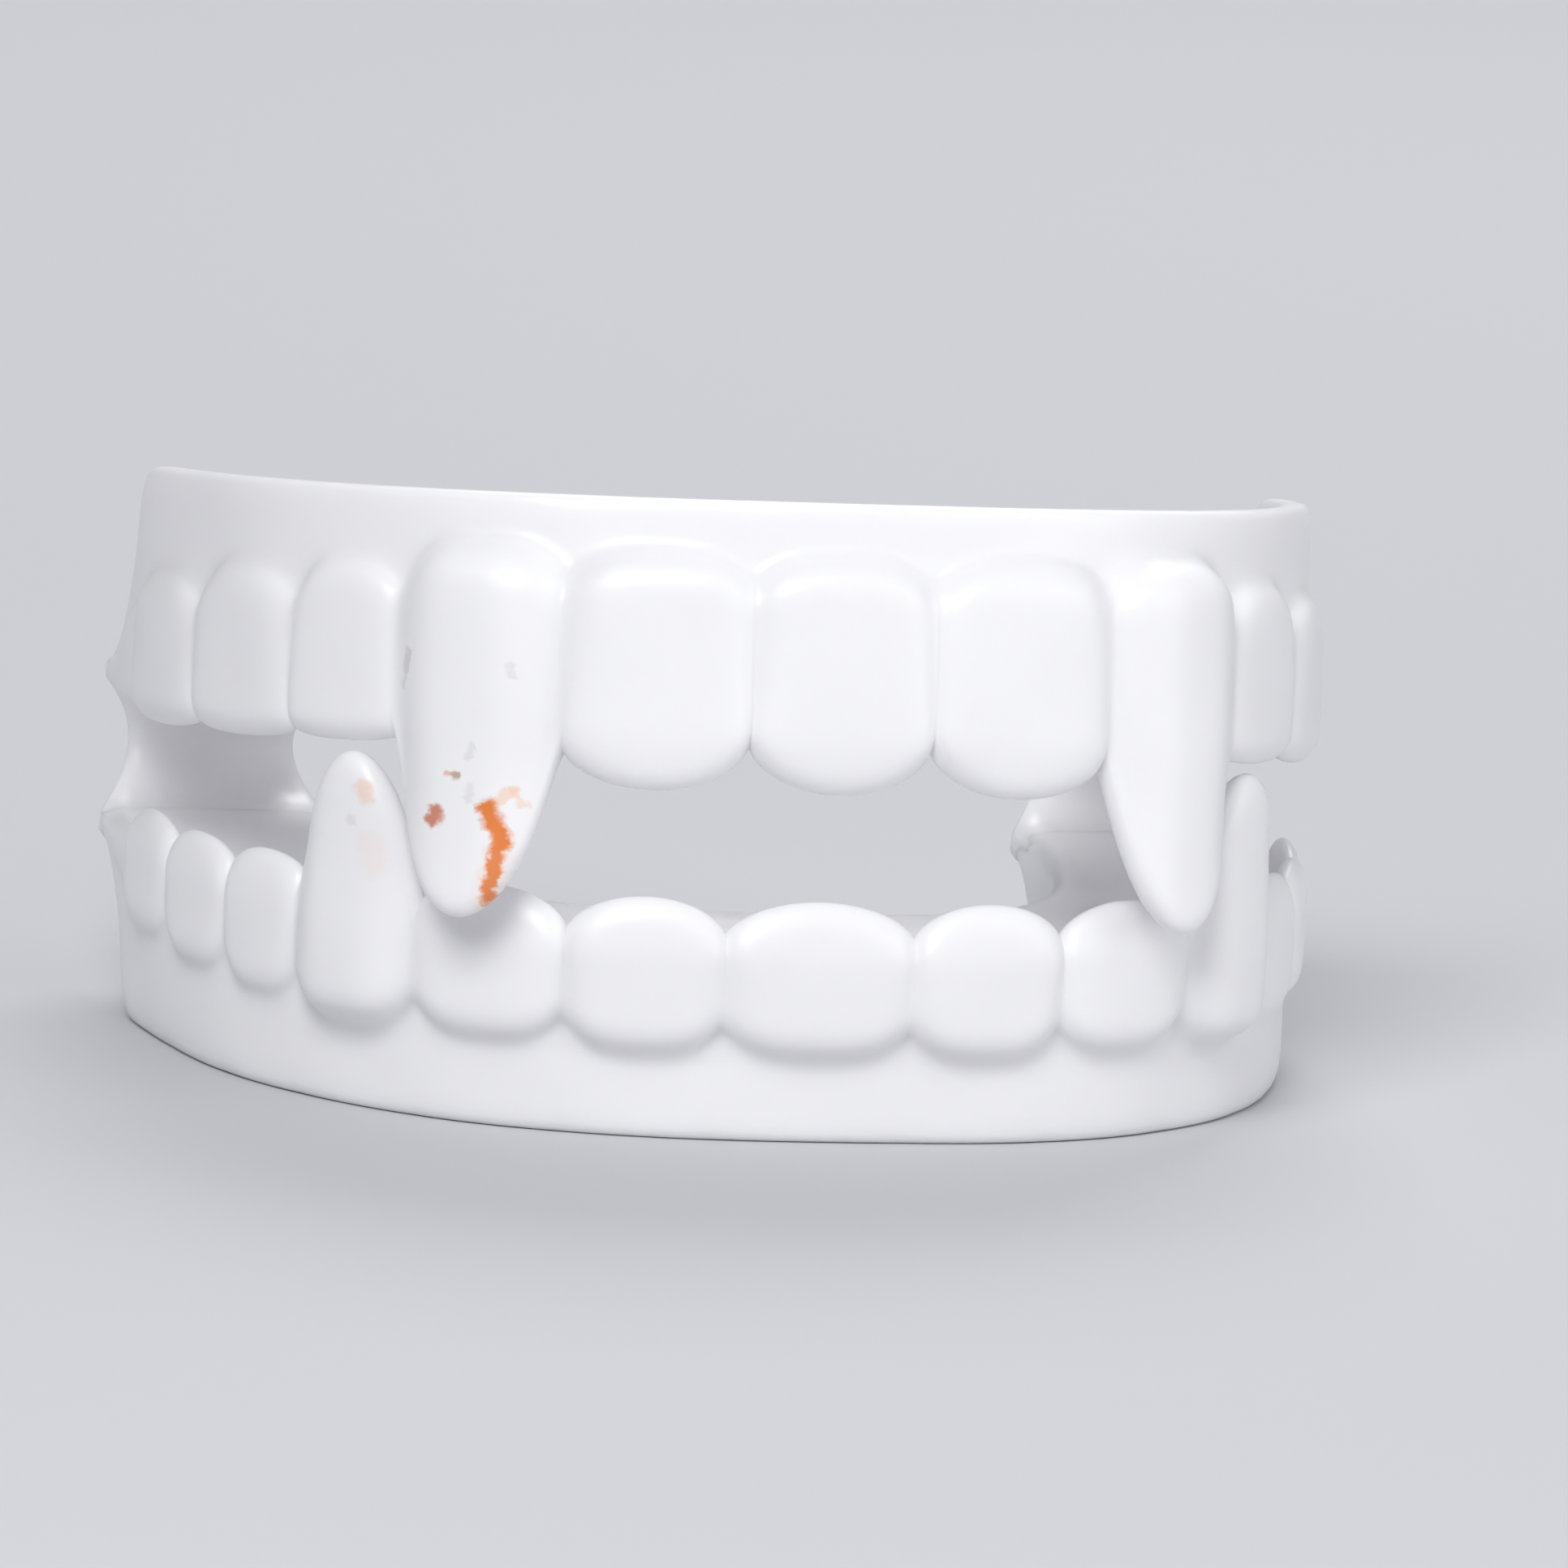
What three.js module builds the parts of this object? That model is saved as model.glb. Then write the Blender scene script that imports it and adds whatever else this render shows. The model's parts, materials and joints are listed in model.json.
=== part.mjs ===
// A soft white costume denture with fangs: an upper and a lower tray of teeth, moulded as one and
// joined behind, at each side, by a thin band that folds like a hinge. Each tray is a channel, with
// a tall outer wall that carries the false teeth, a flat shelf to bite on and a low inner wall.
// Millimetres, +Z up, -Y towards the front teeth. It lies on the rim of the lower tray, with the
// upper tray opened as far as in use.
import * as THREE from "three";

// The arch seen from above
const archHalfWidth = 28; // from the middle to the outer wall, at the back
const archDepth = 38.5; // from the front wall to the start of the hinge bands
const overjet = 2.5; // how far the upper front wall stands in front of the lower one
const turnRate = 3.9; // how soon the wall turns from across to straight back
const turnDelay = 1.78; // above 1, the front teeth stay flatter than the corners

// The trays in section
const shelfThickness = 2;
const outerWall = 1.8;
const channelWidth = 8;
const innerWall = 1.6;
const innerWallHeight = 4.4; // from the channel floor
const edgeBreak = 0.35; // the blunt corner that the mould leaves on each rim
const valleyShare = 0.6; // how far a valley stands out, as a share of the flatter tooth beside it
const bladeBack = 0.9; // how far the back of a tooth lies behind the wall face
const valleyBack = 0.54; // the same in a valley
const edgeRound = 1.2; // length over which a tooth closes into its edge, at most half its height
const shoulder = 1.6; // length over which a tooth rises out of the gum band
const gumScallop = 1.3; // how much lower the gum line is between two teeth

// The hinge bands and the fold
const bandWidth = 8;
const bandThickness = 1.1; // at the crown of the loop, where it folds
const foldGap = 0.8; // the moulding is parted by this much at the fold
const rearRun = 9; // plain stretch behind the last tooth, where the walls run down to the shelf
const bandCorner = 4; // exponent of the rounded rectangle that is the section of a band
const openAngle = 7.2; // degrees between the trays, as worn

// The kinds of teeth. thin: how much of the section is lost towards the edge. taper: how much
// narrower the edge is than the root. square: flatness of the edge seen from the front. round:
// flatness of the face. flare: how far the edge leans out, share of relief. parting: how deep the
// valley beside it may be, share of notchDepth. columns: sections.
const incisor = { thin: 0.35, taper: 0, square: 1.6, round: 10, flare: 0, parting: 1, columns: 8 };
const fang = { thin: 0.42, taper: 0.5, square: 5, round: 4, flare: 0.4, parting: 0.7, columns: 10 };
const molar = { thin: 0.3, taper: 0, square: 2.8, round: 8, flare: 0, parting: 1, columns: 6 };
const smallFang = { ...fang, taper: 0.42, square: 4.2, flare: 0.2 };

// Teeth from the middle outwards. width: share of toothWidth for the front teeth, or of the run
// that is left for the side teeth. reach: share of fangReach beyond the shelf. proud: share of
// relief. top: gum line, as a share of the wall's height above the middle of the shelf.
const upperTeeth = [
  { ...incisor, width: 1.0, reach: 0.29, proud: 0.75, top: 0.76 },
  { ...incisor, width: 1.0, reach: 0.29, proud: 0.75, top: 0.76 },
  { ...fang, width: 0.98, reach: 1.0, proud: 1.0, top: 0.78 },
];
const upperSideTeeth = [
  { ...molar, width: 0.26, reach: 0.1, proud: 0.4, top: 0.66 },
  { ...molar, width: 0.36, reach: 0.12, proud: 0.4, top: 0.6 },
  { ...molar, width: 0.38, reach: 0.12, proud: 0.35, top: 0.52 },
];
const lowerTeeth = [
  { ...incisor, width: 1.02, reach: 0.31, proud: 0.65, top: 0.5 },
  { ...incisor, width: 0.84, reach: 0.31, proud: 0.65, top: 0.5 },
  { ...incisor, width: 0.81, reach: 0.305, proud: 0.6, top: 0.48 },
  { ...smallFang, width: 0.78, reach: 1.0, proud: 0.95, top: 0.5 },
];
const lowerSideTeeth = [
  { ...molar, width: 0.3, reach: 0.28, proud: 0.4, top: 0.45 },
  { ...molar, width: 0.34, reach: 0.245, proud: 0.4, top: 0.42 },
  { ...molar, width: 0.36, reach: 0.225, proud: 0.35, top: 0.38 },
];
const upperTray = {
  depth: archDepth,
  wallHeight: 9, // from the channel floor to the rim
  toothWidth: 8.5,
  fangReach: 8.7,
  relief: 2.2,
  notchDepth: 2.5, // height of the valleys between the front teeth above their edges
  frontTeeth: upperTeeth,
  sideTeeth: upperSideTeeth,
};
const lowerTray = {
  depth: archDepth - overjet,
  wallHeight: 7,
  toothWidth: 8.7,
  fangReach: 8,
  relief: 2.1,
  notchDepth: 1.7,
  frontTeeth: lowerTeeth,
  sideTeeth: lowerSideTeeth,
};
const biteReach = 2.5; // shelf to the edges of the front teeth, which meet when the trays shut

// What follows from the sizes above
const shelfHalf = shelfThickness / 2;
const trayWidth = outerWall + channelWidth + innerWall;
const loopRadius = shelfHalf + biteReach;
const lowerShelfZ = lowerTray.wallHeight + shelfHalf;
const upperShelfZ = lowerShelfZ + 2 * loopRadius;
const foldPoint = new THREE.Vector3(0, loopRadius, lowerShelfZ + loopRadius);

// Where the rings have their points and the ends their rings, as shares of each stretch
const faceShares = [0, 0.06, 0.17, 0.45, 0.75, 1]; // from the gum line to where the edge closes
const edgeShares = [0.5, 0.85, 1]; // round the front of the edge
const backShares = [0.12, 0.4, 0.7, 1]; // from the edge up the back to the shelf
const rearShares = [0, 0.2, 0.4, 0.6, 0.8, 1]; // behind the last tooth
const loopShares = [0.2, 0.4, 0.6, 0.8, 1]; // from the shelf to the fold
const bandLead = 5; // points of a band before the one that faces straight out

const { lerp, clamp, smoothstep, degToRad } = THREE.MathUtils;

// The outer wall seen from above, from the middle to one end. Its direction turns from across to
// straight back as 1 - exp(-turnRate * share^turnDelay), and the curve is stretched to the width
// and depth wanted. Returns its length and a function of the signed length along it.
function archCurve(halfWidth, depth) {
  const steps = 400;
  const turnAt = (share) =>
    ((Math.PI / 2) * (1 - Math.exp(-turnRate * share ** turnDelay))) / (1 - Math.exp(-turnRate));
  const unit = [[0, 0]];
  for (let i = 0; i < steps; i++) {
    const turn = turnAt((i + 0.5) / steps);
    const [x, y] = unit[i];
    unit.push([x + Math.cos(turn), y + Math.sin(turn)]);
  }
  const [endX, endY] = unit[steps];
  const points = unit.map(([x, y]) => new THREE.Vector2((x / endX) * halfWidth, (y / endY) * depth));
  const lengths = [0];
  for (let i = 1; i <= steps; i++) lengths.push(lengths[i - 1] + points[i].distanceTo(points[i - 1]));
  const length = lengths[steps];
  function at(signedLength) {
    const side = Math.sign(signedLength) || 1;
    const along = Math.min(Math.abs(signedLength), length);
    let i = Math.min(Math.floor((along / length) * steps), steps - 1);
    while (i > 0 && lengths[i] > along) i--;
    while (i < steps - 1 && lengths[i + 1] < along) i++;
    const t = (along - lengths[i]) / (lengths[i + 1] - lengths[i]);
    const spot = points[i].clone().lerp(points[i + 1], t);
    const turn = turnAt((i + t) / steps);
    const across = (Math.cos(turn) * halfWidth) / endX;
    const back = (Math.sin(turn) * depth) / endY;
    const out = new THREE.Vector3(side * back, -across, 0).normalize();
    return { spot: new THREE.Vector3(side * spot.x, spot.y - depth, 0), out };
  }
  return { length, at };
}

// One tooth row from side to side, with the place, half width and height of each tooth and of the
// valleys at its two sides. Heights are measured from the middle of the shelf towards the gums.
function placeTeeth(tray, runEnd) {
  const rimHeight = tray.wallHeight + shelfHalf;
  const frontShares = tray.frontTeeth.reduce((sum, tooth, i) => sum + tooth.width * (i ? 1 : 0.5), 0);
  const frontRun = frontShares * tray.toothWidth;
  const oneSide = [];
  let from = 0;
  for (const [i, tooth] of [...tray.frontTeeth, ...tray.sideTeeth].entries()) {
    const isFront = i < tray.frontTeeth.length;
    const width = tooth.width * (isFront ? tray.toothWidth : runEnd - frontRun);
    const half = width / 2;
    const centre = i ? from + half : 0;
    from = centre + half;
    const edge = -shelfHalf - tooth.reach * tray.fangReach;
    oneSide.push({ ...tooth, centre, half, edge, topHeight: tooth.top * rimHeight });
  }
  const otherSide = oneSide.slice(1).reverse();
  const teeth = [...otherSide.map((t) => ({ ...t, centre: -t.centre })), ...oneSide];
  const lowestNotch = -shelfHalf - edgeBreak;
  const valleyBetween = (one, other) => {
    const depth = Math.min(one.parting, other.parting) * tray.notchDepth;
    return {
      top: Math.min(one.topHeight, other.topHeight) - gumScallop,
      notch: Math.min(Math.max(one.edge, other.edge) + depth, lowestNotch),
      proud: valleyShare * Math.min(one.proud, other.proud) * tray.relief,
    };
  };
  const valleys = teeth.slice(1).map((tooth, i) => valleyBetween(teeth[i], tooth));
  const last = teeth[teeth.length - 1];
  const end = { ...valleyBetween(last, last), notch: lowestNotch };
  return teeth.map((tooth, i) => ({ ...tooth, before: valleys[i - 1] ?? end, after: valleys[i] ?? end }));
}

// The closed section of a tray as a ring of points: along (place on the arch), out (from the wall
// face) and height (from the middle of the shelf towards the gums). The front of the tooth comes
// first, from the rim to the edge, then its back, the shelf, the inner wall and the channel.
function sectionRing({ root, tip, top, edge, proud, back, flare, thin, rimHeight }) {
  const closing = 1 - Math.min(edgeRound / (top - edge), 0.5);
  const shelfShare = (top + shelfHalf) / (top - edge);
  function wallAt(share, isFront) {
    const past = clamp((share - shelfShare) / (1 - shelfShare), 0, 1);
    const end = clamp((share - closing) / (1 - closing), 0, 1);
    const rise = 1 - clamp((share * (top - edge)) / shoulder, 0, 1);
    const loss = thin * past * ((proud + back) / 2);
    const face = proud * Math.sqrt(1 - rise * rise) - loss;
    const rear = loss - back;
    const half = ((face - rear) / 2) * Math.sqrt(1 - end * end);
    const out = (face + rear) / 2 + (isFront ? half : -half) + flare * past * past;
    return { along: lerp(root, tip, share), out, height: lerp(top, edge, share) };
  }
  const plain = (out, height) => ({ along: root, out, height });
  const inner = -trayWidth;
  const innerTop = shelfHalf + Math.min(innerWallHeight, rimHeight - shelfHalf);
  return [
    plain(-edgeBreak, rimHeight),
    plain(0, rimHeight - edgeBreak),
    ...faceShares.map((share) => wallAt(share * closing, true)),
    ...edgeShares.map((share) => wallAt(lerp(closing, 1, share), true)),
    ...backShares.map((share) => wallAt(lerp(1, shelfShare, share), false)),
    plain(inner + edgeBreak, -shelfHalf),
    plain(inner, edgeBreak - shelfHalf),
    plain(inner, innerTop - edgeBreak),
    plain(inner + edgeBreak, innerTop),
    plain(inner + innerWall - edgeBreak, innerTop),
    plain(inner + innerWall, innerTop - edgeBreak),
    plain(inner + innerWall, shelfHalf),
    plain(-outerWall, shelfHalf),
    plain(-outerWall, rimHeight - edgeBreak),
    plain(edgeBreak - outerWall, rimHeight),
  ];
}

// The rings of one tooth, from its first valley up to, but not with, its second. Across the tooth,
// the edge outline falls from the valley as a superellipse and narrows with its taper.
function toothRings(tray, tooth, rimHeight, count) {
  const rings = [];
  for (let i = 0; i < count; i++) {
    const across = (2 * i) / count - 1;
    const turned = Math.sin((across * Math.PI) / 2);
    const valley = across < 0 ? tooth.before : tooth.after;
    const fall = Math.max(1 - turned * turned, 0) ** (1 / tooth.square);
    const fullness = Math.sqrt(1 - Math.abs(turned) ** tooth.round);
    rings.push(
      sectionRing({
        root: tooth.centre + across * tooth.half,
        tip: tooth.centre + turned * (1 - tooth.taper * fall) * tooth.half,
        top: lerp(tooth.topHeight, valley.top, Math.abs(across) ** 3),
        edge: lerp(valley.notch, tooth.edge, fall),
        proud: lerp(valley.proud, tooth.proud * tray.relief, fullness),
        back: lerp(valleyBack, bladeBack, fullness),
        flare: tooth.flare * tray.relief * fall,
        thin: tooth.thin,
        rimHeight,
      }),
    );
  }
  return rings;
}

// The section of a hinge band with as many points as a ring: a rounded rectangle about the middle
// of the tray's width.
function bandRing(along, width, thickness, count) {
  const ring = [];
  for (let i = 0; i < count; i++) {
    const angle = (2 * Math.PI * (bandLead - i)) / count;
    const [c, s] = [Math.cos(angle), Math.sin(angle)];
    const out = (Math.sign(c) * Math.abs(c) ** (2 / bandCorner) * width) / 2 - trayWidth / 2;
    const height = (Math.sign(s) * Math.abs(s) ** (2 / bandCorner) * thickness) / 2;
    ring.push({ along, out, height });
  }
  return ring;
}

// All rings of a tray from the fold at one side to the fold at the other: the band, the stretch
// where it widens into the tray, the teeth, and the same again.
function trayRings(tray, length) {
  const rimHeight = tray.wallHeight + shelfHalf;
  const teeth = placeTeeth(tray, length - rearRun);
  const last = teeth[teeth.length - 1];
  const plainRing = (along) =>
    sectionRing({
      root: along,
      tip: along,
      top: last.after.top,
      edge: last.after.notch,
      proud: last.after.proud,
      back: valleyBack,
      flare: 0,
      thin: last.thin,
      rimHeight,
    });
  const ringPoints = plainRing(0).length;
  const loopLength = (Math.PI / 2) * loopRadius - foldGap / 2;
  const end = [];
  for (const share of rearShares) {
    const along = lerp(length - rearRun, length, share);
    const blend = smoothstep(share, 0, 1);
    const slab = bandRing(along, trayWidth, shelfThickness, ringPoints);
    end.push(
      plainRing(along).map((point, i) => ({
        along,
        out: lerp(point.out, slab[i].out, blend),
        height: lerp(point.height, slab[i].height, blend),
      })),
    );
  }
  for (const share of loopShares) {
    const width = lerp(trayWidth, bandWidth, smoothstep(share, 0, 1));
    const thickness = lerp(shelfThickness, bandThickness, smoothstep(share, 0, 1));
    end.push(bandRing(length + share * loopLength, width, thickness, ringPoints));
  }
  const mirrored = end.map((ring) => ring.map((point) => ({ ...point, along: -point.along }))).reverse();
  const middle = teeth.flatMap((tooth) => toothRings(tray, tooth, rimHeight, tooth.columns));
  return [...mirrored, ...middle.slice(1), ...end];
}

// A closed skin over the rings. Past the end of the arch the path turns in a loop towards the
// other tray, and each ring turns with it. gumSide is 1 where the gums are above, else -1.
function trayGeometry(tray, shelfZ, gumSide) {
  const curve = archCurve(archHalfWidth, tray.depth);
  const rings = trayRings(tray, curve.length);
  const count = rings[0].length;
  const positions = [];
  const spot = ({ along, out, height }) => {
    const at = curve.at(along);
    const angle = Math.max(Math.abs(along) - curve.length, 0) / loopRadius;
    const y = (loopRadius + height) * Math.sin(angle);
    const z = shelfZ + gumSide * (height * Math.cos(angle) - loopRadius * (1 - Math.cos(angle)));
    return at.spot.addScaledVector(at.out, out).add(new THREE.Vector3(0, y, z));
  };
  for (const ring of rings) for (const point of ring) positions.push(...spot(point).toArray());
  const ends = [rings[0], rings[rings.length - 1]].map((ring) => {
    const middle = new THREE.Vector3();
    for (const point of ring) middle.addScaledVector(spot(point), 1 / count);
    positions.push(...middle.toArray());
    return positions.length / 3 - 1;
  });
  const faces = [];
  const addFace = (a, b, c) => faces.push(...(gumSide > 0 ? [a, b, c] : [a, c, b]));
  for (let r = 0; r < rings.length - 1; r++) {
    for (let i = 0; i < count; i++) {
      const next = (i + 1) % count;
      const [a, b, c, d] = [r * count + i, r * count + next, (r + 1) * count + next, (r + 1) * count + i];
      addFace(a, b, c);
      addFace(a, c, d);
    }
  }
  for (let i = 0; i < count; i++) {
    const next = (i + 1) % count;
    const lastRing = (rings.length - 1) * count;
    addFace(ends[0], next, i);
    addFace(ends[1], lastRing + i, lastRing + next);
  }
  const geometry = new THREE.BufferGeometry();
  geometry.setAttribute("position", new THREE.Float32BufferAttribute(positions, 3));
  geometry.setIndex(faces);
  geometry.computeVertexNormals();
  return geometry;
}

const whiteVinyl = () => new THREE.MeshStandardMaterial({ color: 0xf4f3f6, roughness: 0.35, metalness: 0 });

const lowerArch = new THREE.Mesh(trayGeometry(lowerTray, lowerShelfZ, -1), whiteVinyl());
lowerArch.name = "lower_arch";

const upperArch = new THREE.Mesh(trayGeometry(upperTray, upperShelfZ, 1), whiteVinyl());
upperArch.name = "upper_arch";
upperArch.position.copy(foldPoint).negate();

// The upper tray swings about the fold
const upperJaw = new THREE.Group();
upperJaw.position.copy(foldPoint);
upperJaw.rotation.x = -degToRad(openAngle);
upperJaw.add(upperArch);

// The origin is under the middle of the whole denture
const denture = new THREE.Group();
denture.add(lowerArch, upperJaw);
const box = new THREE.Box3().setFromObject(denture, true);
denture.position.y = -(box.min.y + box.max.y) / 2;

export default denture;
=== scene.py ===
# %% [markdown]
# A costume denture with fangs.
# The real thing is one soft white moulding, sold for fancy dress: an upper and a lower tray of
# false teeth, joined behind at each side by a thin band that folds like a hinge. Each tray is a
# channel, with a tall outer wall shaped as teeth, a flat shelf to bite on and a low inner wall.
# It could be sculpted by hand, or each tooth could be a bent cylinder. Here every surface is a
# function on a grid, because a row of teeth is one section that changes as it goes round an arch.

# %% Load the frame
import json
import math

import bpy
import numpy as np
from mathutils import Matrix, Vector


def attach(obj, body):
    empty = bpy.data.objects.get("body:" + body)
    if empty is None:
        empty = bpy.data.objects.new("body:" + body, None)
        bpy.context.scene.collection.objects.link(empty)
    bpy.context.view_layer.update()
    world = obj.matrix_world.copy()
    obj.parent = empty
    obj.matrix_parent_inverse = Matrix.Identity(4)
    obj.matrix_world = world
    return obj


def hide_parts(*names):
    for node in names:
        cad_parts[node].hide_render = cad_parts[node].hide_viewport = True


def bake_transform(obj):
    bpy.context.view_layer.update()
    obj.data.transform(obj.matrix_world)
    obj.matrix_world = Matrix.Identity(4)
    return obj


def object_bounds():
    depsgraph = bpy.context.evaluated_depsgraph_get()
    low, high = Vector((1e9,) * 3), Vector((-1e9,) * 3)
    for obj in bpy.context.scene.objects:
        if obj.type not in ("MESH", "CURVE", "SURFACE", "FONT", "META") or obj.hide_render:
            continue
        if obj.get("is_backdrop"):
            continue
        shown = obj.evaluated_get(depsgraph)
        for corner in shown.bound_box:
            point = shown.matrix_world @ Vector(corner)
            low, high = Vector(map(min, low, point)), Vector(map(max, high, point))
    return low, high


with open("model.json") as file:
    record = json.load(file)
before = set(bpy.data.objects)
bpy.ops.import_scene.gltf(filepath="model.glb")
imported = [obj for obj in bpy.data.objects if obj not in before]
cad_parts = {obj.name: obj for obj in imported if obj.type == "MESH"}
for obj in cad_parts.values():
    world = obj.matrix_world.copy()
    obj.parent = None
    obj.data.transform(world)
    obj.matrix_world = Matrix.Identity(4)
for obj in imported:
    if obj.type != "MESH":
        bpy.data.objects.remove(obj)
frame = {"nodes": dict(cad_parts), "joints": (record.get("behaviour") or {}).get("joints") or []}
cad_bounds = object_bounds()
MM = 0.001
print("solids to dress:", sorted(frame["nodes"]))

# %% [markdown]
# The camera comes first, because it decides how the rest is judged.
# The photograph shows the front teeth from a little towards -X and a little above, with a long
# lens and the frame tipped. A camera can be aimed with a constraint, but a matrix made from three
# plain angles is easier to read, and it stays put.

# %% Camera
CAMERA_TURN = math.radians(-11.4)  # away from straight in front, towards -X
CAMERA_RISE = math.radians(9.5)
CAMERA_ROLL = math.radians(3.4)
CAMERA_DISTANCE = 0.9
PICTURE_WIDTH = 0.0735  # what the frame takes in at the denture
AIM = Vector((0.0004, -0.006, 0.0148))


def camera_axes(turn, rise, roll):
    """The camera looks back along a direction turned from -Y and raised; its sides are rolled about it."""
    back = Vector((math.sin(turn) * math.cos(rise), -math.cos(turn) * math.cos(rise), math.sin(rise)))
    level = Vector((math.cos(turn), math.sin(turn), 0))
    side = level * math.cos(roll) + back.cross(level) * math.sin(roll)
    return side, back.cross(side), back


side, up, back = camera_axes(CAMERA_TURN, CAMERA_RISE, CAMERA_ROLL)
lens_data = bpy.data.cameras.new("camera")
lens_data.lens = lens_data.sensor_width * CAMERA_DISTANCE / PICTURE_WIDTH
camera = bpy.data.objects.new("camera", lens_data)
bpy.context.scene.collection.objects.link(camera)
turned = Matrix((side, up, back)).transposed().to_4x4()
camera.matrix_world = Matrix.Translation(AIM + back * CAMERA_DISTANCE) @ turned
bpy.context.scene.camera = camera
print(f"lens {lens_data.lens:.0f} mm at {CAMERA_DISTANCE} m")

# %% [markdown]
# The sizes are those of the solids, so the dressed denture sits exactly where they are. They
# could be measured on the solids, but named values say what each one is. Only the fold is read
# from the frame, and the two shelves take their height from it.

# %% Sizes of the trays
ARCH_HALF_WIDTH = 28 * MM  # from the middle to the outer wall, at the back
ARCH_DEPTH = 38.5 * MM  # from the front wall to the start of the hinge bands
OVERJET = 2.5 * MM  # how far the upper front wall stands in front of the lower one
SHELF = 2 * MM
OUTER_WALL = 1.8 * MM
CHANNEL = 8 * MM
INNER_WALL = 1.6 * MM
INNER_WALL_HEIGHT = 4.4 * MM
REAR_RUN = 9 * MM  # over which the walls sink into the shelf, behind the last tooth
BITE_REACH = 2.5 * MM  # from the fold to the shelves, before the trays are opened
OPEN_ANGLE = math.radians(7.2)
TRAY_WIDTH = OUTER_WALL + CHANNEL + INNER_WALL
SHELF_HALF = SHELF / 2
LOOP_RADIUS = SHELF_HALF + BITE_REACH
fold = Vector(frame["joints"][0]["pos_m"])
HINGE_Y = fold.y - LOOP_RADIUS  # where the arch ends and the bands begin
LOWER_SHELF_Z = fold.z - LOOP_RADIUS
UPPER_SHELF_Z = fold.z + LOOP_RADIUS
print(f"fold at {fold.y * 1000:.2f} mm behind the middle, {fold.z * 1000:.2f} mm up")

# %% [markdown]
# A tooth is a row of a short table. Its lengths are shares of a few named sizes of its tray,
# which keeps the teeth in proportion when a tray grows: width is a share of a front tooth (of the
# run that is left, at the sides), reach of the long fang, proud of the relief, and top, the gum
# line, of the wall. The shape numbers come from the kind of tooth.

# %% Kinds of teeth
incisor = dict(thin=0.35, taper=0, square=1.6, round=10, flare=0, parting=1)
fang = dict(thin=0.42, taper=0.5, square=5, round=4, flare=0.4, parting=0.7)
molar = dict(thin=0.3, taper=0, square=2.8, round=8, flare=0, parting=1)
small_fang = dict(fang, taper=0.42, square=4.2, flare=0.2)
print("a fang narrows by", fang["taper"], "of its width, a small one by", small_fang["taper"])

# %% [markdown]
# The upper tray has three front teeth between two long fangs, the lower one five between two
# small fangs, and both have three side teeth behind them. One half of each row is written down,
# from the middle outwards, because the other half mirrors it.

# %% The two rows of teeth
upper = dict(
    depth=ARCH_DEPTH, shelf_z=UPPER_SHELF_Z, gum_side=1,
    wall=9 * MM, tooth=8.5 * MM, fang=8.7 * MM, relief=2.2 * MM, notch=2.5 * MM,
    front=[
        dict(incisor, width=1.0, reach=0.29, proud=0.75, top=0.76),
        dict(incisor, width=1.0, reach=0.29, proud=0.75, top=0.76),
        dict(fang, width=0.98, reach=1.0, proud=1.0, top=0.78),
    ],
    sides=[
        dict(molar, width=0.26, reach=0.1, proud=0.4, top=0.66),
        dict(molar, width=0.36, reach=0.12, proud=0.4, top=0.6),
        dict(molar, width=0.38, reach=0.12, proud=0.35, top=0.52),
    ],
)
lower = dict(
    depth=ARCH_DEPTH - OVERJET, shelf_z=LOWER_SHELF_Z, gum_side=-1,
    wall=7 * MM, tooth=8.7 * MM, fang=8 * MM, relief=2.1 * MM, notch=1.7 * MM,
    front=[
        dict(incisor, width=1.02, reach=0.31, proud=0.65, top=0.5),
        dict(incisor, width=0.84, reach=0.31, proud=0.65, top=0.5),
        dict(incisor, width=0.81, reach=0.305, proud=0.6, top=0.48),
        dict(small_fang, width=0.78, reach=1.0, proud=0.95, top=0.5),
    ],
    sides=[
        dict(molar, width=0.3, reach=0.28, proud=0.4, top=0.45),
        dict(molar, width=0.34, reach=0.245, proud=0.4, top=0.42),
        dict(molar, width=0.36, reach=0.225, proud=0.35, top=0.38),
    ],
)
print("teeth above and below:", [2 * len(t["front"]) + 2 * len(t["sides"]) - 1 for t in (upper, lower)])

# %% [markdown]
# The arch is the line of the outer wall seen from above.
# A half ellipse would be the quick way, but a dental arch is flatter in front and straighter at
# the sides. So its direction is given instead, as a share of a quarter turn that grows with the
# length run, and the line is the running sum of that direction.

# %% The arch
TURN_RATE = 3.9  # how soon the arch has turned from the front to the side
TURN_DELAY = 1.78  # above 1, it stays flat in front for longer
ARCH_STEPS = 600


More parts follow.
